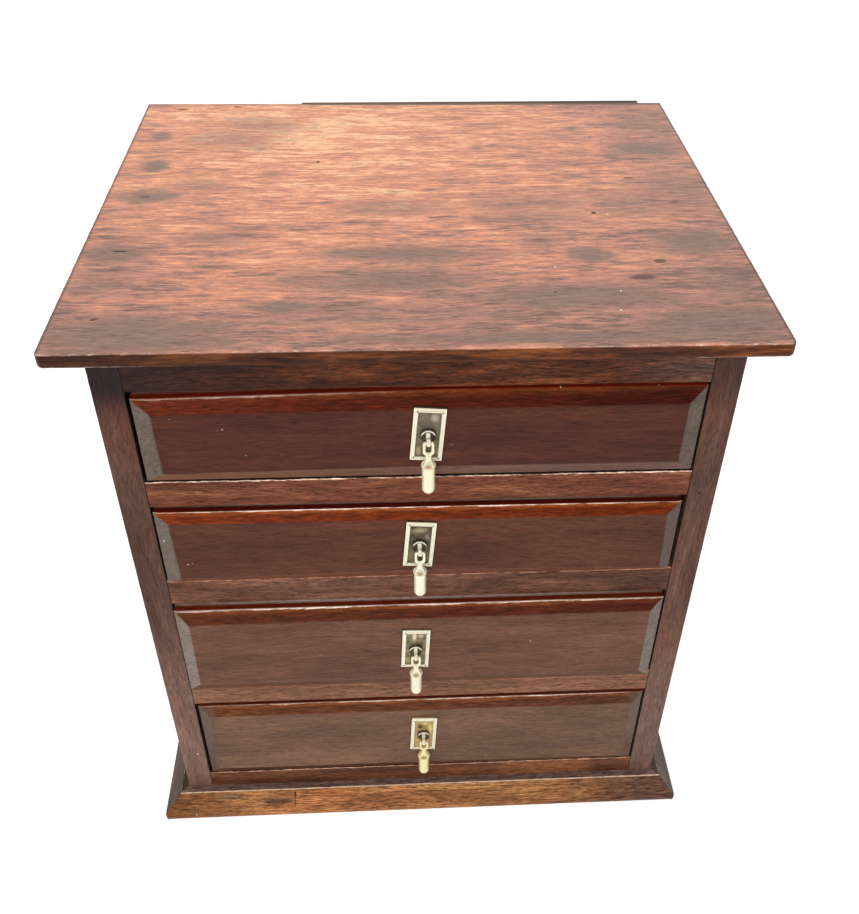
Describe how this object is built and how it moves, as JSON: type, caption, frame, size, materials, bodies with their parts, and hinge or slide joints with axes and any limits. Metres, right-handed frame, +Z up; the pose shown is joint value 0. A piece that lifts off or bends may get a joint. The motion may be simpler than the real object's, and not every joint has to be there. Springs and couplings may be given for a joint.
{
  "type": "tabletop chest of drawers",
  "caption": "Small mahogany tabletop chest of drawers with an overhanging top, bevelled drawer fronts, brass drop pulls and a sloping plinth.",
  "frame": {"origin": "middle of the chest's footprint at floor level, halfway between the foremost and rearmost points at rest", "axes": "+Z up; the drawers open towards -Y; +X is the right-hand side seen from the front"},
  "size_m": [0.33, 0.2976, 0.353],
  "materials": {
    "top_mahogany": "French-polished mahogany, faded by light, worn at the edges",
    "case_mahogany": "French-polished mahogany",
    "rail_mahogany": "French-polished mahogany",
    "front_mahogany": "French-polished mahogany, glossy",
    "plinth_mahogany": "polished mahogany, worn and browner",
    "inner_wood": "bare planed wood, darkened with age",
    "brass": "cast brass, polished on its raised parts",
    "iron": "dull iron"
  },
  "bodies": {
    "carcase": {"top_board": "top_mahogany", "left_side": "case_mahogany", "right_side": "case_mahogany", "back_board": "case_mahogany", "frieze_rail": "rail_mahogany", "rail_1": "rail_mahogany", "rail_2": "rail_mahogany", "rail_3": "rail_mahogany", "bottom_board": "rail_mahogany", "runner_1_left": "inner_wood", "runner_1_right": "inner_wood", "runner_2_left": "inner_wood", "runner_2_right": "inner_wood", "runner_3_left": "inner_wood", "runner_3_right": "inner_wood", "kicker_left": "inner_wood", "kicker_right": "inner_wood", "plinth_front": "plinth_mahogany", "plinth_left": "plinth_mahogany", "plinth_right": "plinth_mahogany", "plinth_blocks": "inner_wood", "drawer_stops": "inner_wood", "back_nails": "iron", "top_screws": "iron"},
    "drawer_1": {"drawer_1_front": "front_mahogany", "drawer_1_left_side": "inner_wood", "drawer_1_right_side": "inner_wood", "drawer_1_back": "inner_wood", "drawer_1_bottom": "inner_wood", "drawer_1_pull_plate": "brass", "drawer_1_pull_eye": "brass", "drawer_1_pull_nut": "brass"},
    "drop_1": {"drawer_1_pull_drop": "brass"},
    "drawer_2": {"drawer_2_front": "front_mahogany", "drawer_2_left_side": "inner_wood", "drawer_2_right_side": "inner_wood", "drawer_2_back": "inner_wood", "drawer_2_bottom": "inner_wood", "drawer_2_pull_plate": "brass", "drawer_2_pull_eye": "brass", "drawer_2_pull_nut": "brass"},
    "drop_2": {"drawer_2_pull_drop": "brass"},
    "drawer_3": {"drawer_3_front": "front_mahogany", "drawer_3_left_side": "inner_wood", "drawer_3_right_side": "inner_wood", "drawer_3_back": "inner_wood", "drawer_3_bottom": "inner_wood", "drawer_3_pull_plate": "brass", "drawer_3_pull_eye": "brass", "drawer_3_pull_nut": "brass"},
    "drop_3": {"drawer_3_pull_drop": "brass"},
    "drawer_4": {"drawer_4_front": "front_mahogany", "drawer_4_left_side": "inner_wood", "drawer_4_right_side": "inner_wood", "drawer_4_back": "inner_wood", "drawer_4_bottom": "inner_wood", "drawer_4_pull_plate": "brass", "drawer_4_pull_eye": "brass", "drawer_4_pull_nut": "brass"},
    "drop_4": {"drawer_4_pull_drop": "brass"}
  },
  "joints": [
    {"name": "drawer_1_slide", "type": "slide", "parent": "carcase", "child": "drawer_1", "axis": [0, -1, 0], "range_m": [0, 0.19]},
    {"name": "drop_1_swing", "type": "hinge", "parent": "drawer_1", "child": "drop_1", "pos_m": [0.0026, -0.14275, 0.2993], "axis": [-1, 0, 0], "range_deg": [-3, 85]},
    {"name": "drawer_2_slide", "type": "slide", "parent": "carcase", "child": "drawer_2", "axis": [0, -1, 0], "range_m": [0, 0.19]},
    {"name": "drop_2_swing", "type": "hinge", "parent": "drawer_2", "child": "drop_2", "pos_m": [-0.0016, -0.14275, 0.2283], "axis": [-1, 0, 0], "range_deg": [-3, 85]},
    {"name": "drawer_3_slide", "type": "slide", "parent": "carcase", "child": "drawer_3", "axis": [0, -1, 0], "range_m": [0, 0.19]},
    {"name": "drop_3_swing", "type": "hinge", "parent": "drawer_3", "child": "drop_3", "pos_m": [-0.0041, -0.14515, 0.15005], "axis": [-1, 0, 0], "range_deg": [-3, 85]},
    {"name": "drawer_4_slide", "type": "slide", "parent": "carcase", "child": "drawer_4", "axis": [0, -1, 0], "range_m": [0, 0.19]},
    {"name": "drop_4_swing", "type": "hinge", "parent": "drawer_4", "child": "drop_4", "pos_m": [0.0004, -0.14215, 0.06745], "axis": [-1, 0, 0], "range_deg": [-3, 85]}
  ]
}
